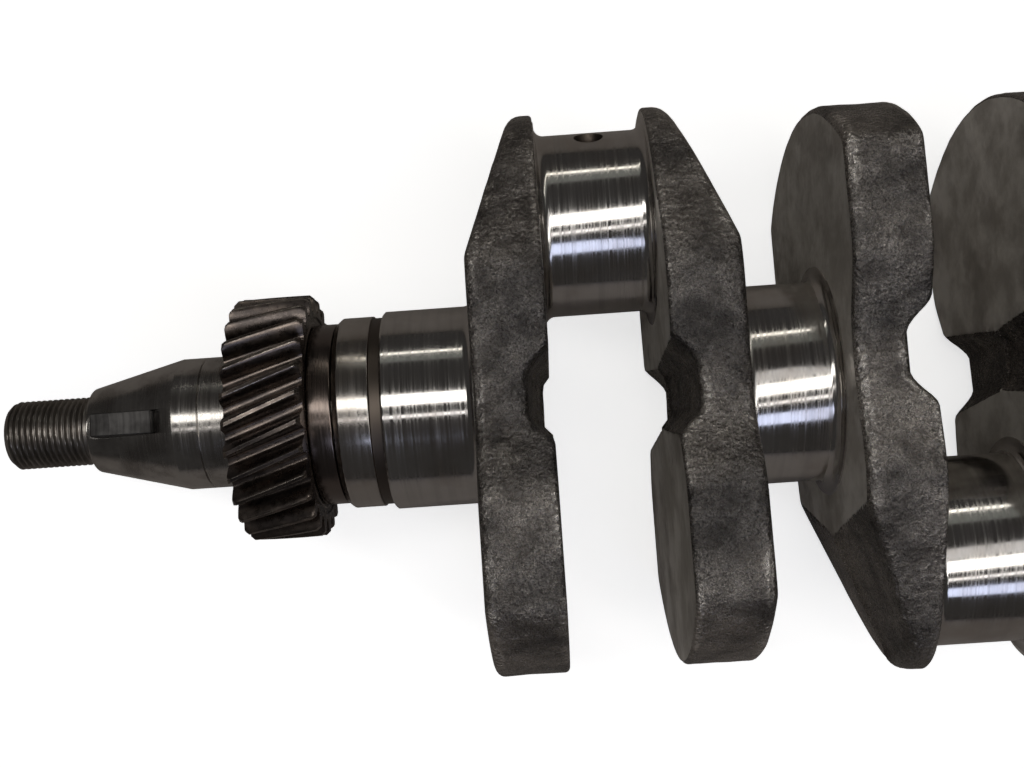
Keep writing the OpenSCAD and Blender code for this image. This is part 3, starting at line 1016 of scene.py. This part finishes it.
def make_pilot_bearing():
    """Rings, balls, cage and shields of the pilot bearing."""
    low, high = span("pilot_outer_ring")
    mid = (low + high) / 2
    outer_r = radius("pilot_outer_ring")
    inner_r = radius("pilot_inner_ring")
    shield_r = radius("pilot_shields")
    lathe("bearing_outer_ring", race_profile(low, high, outer_r, shield_r, True), BEARING,
          ["pilot_outer_ring"], ring=True, count=128)
    lathe("bearing_inner_ring", race_profile(low, high, BEARING_BORE_R, inner_r, False), BEARING,
          ["pilot_inner_ring"], ring=True, count=128, body="bearing_inner")
    ball_points, ball_faces = [], []
    rings = [(mid - BALL_R * math.cos(math.pi * k / 20), BALL_R * math.sin(math.pi * k / 20))
             for k in range(21)]
    rings[0], rings[-1] = (mid - BALL_R, 0.0), (mid + BALL_R, 0.0)
    for k in range(BALLS):
        a = 2 * math.pi * k / BALLS
        centre = (BALL_CIRCLE_R * math.cos(a), BALL_CIRCLE_R * math.sin(a))
        points, faces = lathe_mesh(rings, centre, 32)
        first = len(ball_points)
        ball_points += points
        ball_faces += [tuple(first + v for v in f) for f in faces]
    balls = piece("bearing_balls", ball_points, ball_faces, BEARING, ["pilot_balls"],
                  "bearing_cage")
    outward(balls)
    low_c, high_c = span("pilot_cage")
    cage_out = radius("pilot_cage")
    cage_in = 2 * BALL_CIRCLE_R - cage_out
    cage = lathe("bearing_cage_ring", rounded([(low_c, cage_in, 0), (low_c, cage_out, 0.15 * MM),
                                              (high_c, cage_out, 0.15 * MM), (high_c, cage_in, 0)]),
                 BRASS, ["pilot_cage"], ring=True, count=160, body="bearing_cage")
    for k in range(BALLS):
        out = Vector((0, math.cos(2 * math.pi * k / BALLS), math.sin(2 * math.pi * k / BALLS)))
        turn = Vector((1, 0, 0)).rotation_difference(out).to_matrix().to_4x4()
        hole = [(5 * MM, 0), (5 * MM, POCKET_R), (20 * MM, POCKET_R), (20 * MM, 0)]
        cut(cage, turned_cutter(hole, Matrix.Translation((mid, 0, 0)) @ turn, 40))
    shield_in = inner_r + 0.3 * MM
    points, faces = [], []
    for x, way in ((low + SHIELD_GAP, 1), (high - SHIELD_GAP, -1)):
        dish = [(0, shield_r, 0), (0, shield_r - 1.0 * MM, 0.2 * MM),
                (0.35 * MM, shield_r - 1.4 * MM, 0.2 * MM), (0.35 * MM, shield_in + 0.1 * MM, 0)]
        face = rounded([(x + way * a, r, c) for a, r, c in dish], 3)
        back = [(a + way * (SHIELD_T - 0.36 * MM), r) for a, r in reversed(face)]
        more_points, more_faces = lathe_mesh(face + back, count=128, ring=True)
        first = len(points)
        points += more_points
        faces += [tuple(first + v for v in f) for f in more_faces]
    shields = piece("bearing_shields", points, faces, SHIELD, ["pilot_shields"])
    outward(shields)


# ---------------------------------------------------------------- camera, lights and floor

LENS = 44.0
CAMERA_HEIGHT = 329 * MM
CAMERA_SIDE = -28.4 * MM
CAMERA_FORWARD = -17.4 * MM
CAMERA_YAW, CAMERA_PITCH, CAMERA_ROLL = 1.18, 5.75, -3.87


def make_camera():
    """Looks down on the front of the crankshaft."""
    data = bpy.data.cameras.new("camera")
    data.lens = LENS
    data.sensor_width = 36
    data.clip_start = 0.01
    camera = bpy.data.objects.new("camera", data)
    bpy.context.scene.collection.objects.link(camera)
    turn = (Matrix.Rotation(math.radians(CAMERA_YAW), 4, "Y")
            @ Matrix.Rotation(math.radians(CAMERA_PITCH), 4, "X")
            @ Matrix.Rotation(math.radians(CAMERA_ROLL), 4, "Z"))
    spot = Vector((middle("crankpin_1").x + CAMERA_FORWARD, CAMERA_SIDE, CAMERA_HEIGHT))
    camera.matrix_world = Matrix.Translation(spot) @ turn
    bpy.context.scene.camera = camera


CEILING = 1.6
FLOOR_HALF = 6.0
WORLD_LIGHT = 0.04
WORLD_SEEN = 0.92
STRIP_TURN = math.radians(-38.6)


def ceiling_light(name, x, y, length, width, radiance, color, turn=STRIP_TURN):
    """A long panel that faces down; x is counted from crankpin 1, and most panels lie askew to the shaft."""
    data = bpy.data.lights.new(name, "AREA")
    data.shape = "RECTANGLE"
    data.size = length
    data.size_y = width
    data.energy = radiance * math.pi * length * width
    data.color = color
    lamp = bpy.data.objects.new(name, data)
    bpy.context.scene.collection.objects.link(lamp)
    place = Matrix.Translation((middle("crankpin_1").x + x, y, CEILING))
    lamp.matrix_world = place @ Matrix.Rotation(turn, 4, "Z")
    lamp.visible_camera = False


def make_stage():
    """Floor, soft lights and surroundings."""
    half = FLOOR_HALF
    mesh = bpy.data.meshes.new("floor")
    mesh.from_pydata([(-half, -half, FLOOR_Z), (half, -half, FLOOR_Z), (half, half, FLOOR_Z),
                      (-half, half, FLOOR_Z)], [], [(0, 1, 2, 3)])
    mesh.materials.append(stage_material())
    floor = bpy.data.objects.new("floor", mesh)
    bpy.context.scene.collection.objects.link(floor)
    ceiling_light("main_strip", 0.52, -0.38, 1.7, 0.28, 3.6, (1.0, 0.98, 0.94))
    ceiling_light("main_strip_left", -0.58, 0.17, 0.90, 0.34, 3.6, (1.0, 0.98, 0.94), 0.0)
    ceiling_light("second_strip", 0.52, -0.85, 1.7, 0.07, 2.6, (1.0, 0.97, 0.95))
    ceiling_light("second_strip_left", -0.58, -0.36, 0.90, 0.09, 2.2, (1.0, 0.97, 0.95), 0.0)
    ceiling_light("right_panel", 0.85, -0.22, 1.5, 0.28, 0.8, (1.0, 0.98, 0.96))
    ceiling_light("far_strip", 0.50, 2.25, 3.4, 0.20, 3.0, (1.0, 0.97, 0.88))
    ceiling_light("far_wall", 0.50, 1.65, 3.0, 0.60, 0.16, (0.95, 1.0, 0.92))
    ceiling_light("window", 0.63, -1.68, 1.8, 0.50, 1.7, (0.68, 0.75, 1.0))
    world = bpy.data.worlds.new("room")
    world.use_nodes = True
    tree = world.node_tree
    path = tree.nodes.new("ShaderNodeLightPath")
    level = tree.nodes.new("ShaderNodeMapRange")
    level.inputs["To Min"].default_value = WORLD_LIGHT
    level.inputs["To Max"].default_value = WORLD_SEEN
    tree.links.new(path.outputs["Is Camera Ray"], level.inputs["Value"])
    tree.links.new(level.outputs["Result"], tree.nodes["Background"].inputs["Strength"])
    tree.nodes["Background"].inputs["Color"].default_value = (1.0, 0.95, 0.92, 1)
    bpy.context.scene.world = world
    bpy.context.scene.view_settings.view_transform = "Standard"


make_camera()
make_stage()
for number in range(1, 9):
    web_piece(number)
make_journals()
make_nose()
make_front()
make_gear()
make_flywheel_end()
make_pilot_bearing()
